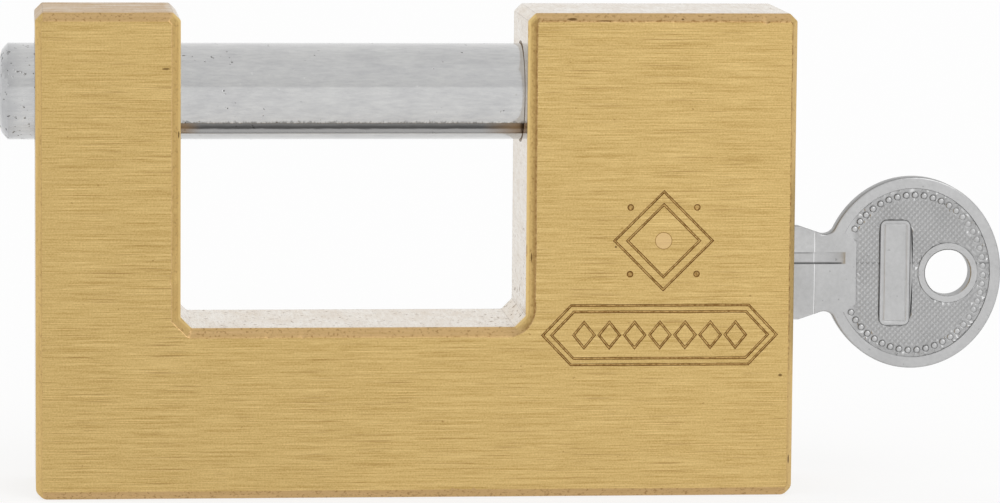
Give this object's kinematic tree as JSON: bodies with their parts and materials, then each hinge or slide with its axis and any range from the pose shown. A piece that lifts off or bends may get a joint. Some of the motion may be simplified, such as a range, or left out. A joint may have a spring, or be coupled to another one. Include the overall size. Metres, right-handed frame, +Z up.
{
  "type": "padlock",
  "caption": "Straight-bolt brass padlock for roller shutters: U-shaped solid body, sliding steel bolt across the notch, pin tumbler plug and key in the end.",
  "frame": {"origin": "centre of the body's base", "axes": "+X along the bolt towards the key end, +Y from the front face to the back face, +Z up, away from the base"},
  "size_m": [0.1259, 0.02, 0.0602],
  "materials": {
    "brass_body": "brushed along the bolt's direction, unlacquered",
    "plated_steel": "dull bright plating with small pits",
    "nickel_key": "nickel plated, stamped",
    "brass_plug": "turned",
    "inner_steel": "machined",
    "spring_steel": "drawn wire"
  },
  "bodies": {
    "housing": {"body": "brass_body", "bolt_stop_pin": "brass_body", "cylinder_pin": "brass_body", "plunger_spring": "spring_steel", "plunger_bore_plug": "brass_body", "driver_pin_1": "inner_steel", "driver_pin_2": "inner_steel", "driver_pin_3": "inner_steel", "driver_pin_4": "inner_steel", "pin_spring_1": "spring_steel", "pin_spring_2": "spring_steel", "pin_spring_3": "spring_steel", "pin_spring_4": "spring_steel", "chamber_plug_1": "brass_body", "chamber_plug_2": "brass_body", "chamber_plug_3": "brass_body", "chamber_plug_4": "brass_body"},
    "bolt": {"bolt": "plated_steel"},
    "cylinder": {"plug": "brass_plug", "cam": "inner_steel", "cam_screw": "inner_steel"},
    "key": {"key": "nickel_key"},
    "plunger": {"plunger": "inner_steel"},
    "key_pin_1": {"key_pin_1": "brass_plug"},
    "key_pin_2": {"key_pin_2": "brass_plug"},
    "key_pin_3": {"key_pin_3": "brass_plug"},
    "key_pin_4": {"key_pin_4": "brass_plug"}
  },
  "joints": [
    {"name": "bolt_slide", "type": "slide", "parent": "housing", "child": "bolt", "axis": [-1, 0, 0], "range_m": [0, 0.0626]},
    {"name": "cylinder_turn", "type": "hinge", "parent": "housing", "child": "cylinder", "pos_m": [0.0468, 0, 0.0269], "axis": [1, 0, 0], "range_deg": [0, 180]},
    {"name": "key_slide", "type": "slide", "parent": "cylinder", "child": "key", "axis": [1, 0, 0], "range_m": [0, 0.018]},
    {"name": "plunger_lift", "type": "slide", "parent": "housing", "child": "plunger", "axis": [0, 0, 1], "range_m": [0, 0.00361], "deforming": ["plunger_spring"]},
    {"name": "key_pin_1_slide", "type": "slide", "parent": "cylinder", "child": "key_pin_1", "axis": [0, 0, -1], "range_m": [0, 0.00271]},
    {"name": "key_pin_2_slide", "type": "slide", "parent": "cylinder", "child": "key_pin_2", "axis": [0, 0, -1], "range_m": [0, 0.00271]},
    {"name": "key_pin_3_slide", "type": "slide", "parent": "cylinder", "child": "key_pin_3", "axis": [0, 0, -1], "range_m": [0, 0.00271]},
    {"name": "key_pin_4_slide", "type": "slide", "parent": "cylinder", "child": "key_pin_4", "axis": [0, 0, -1], "range_m": [0, 0.00271]}
  ],
  "couplings": [
    {"joint": "plunger_lift", "follows": "cylinder_turn", "m_per_rad": 0.0011459},
    {"joint": "key_pin_1_slide", "follows": "key_slide", "ratio": 0.15},
    {"joint": "key_pin_2_slide", "follows": "key_slide", "ratio": 0.15},
    {"joint": "key_pin_3_slide", "follows": "key_slide", "ratio": 0.15},
    {"joint": "key_pin_4_slide", "follows": "key_slide", "ratio": 0.15}
  ]
}
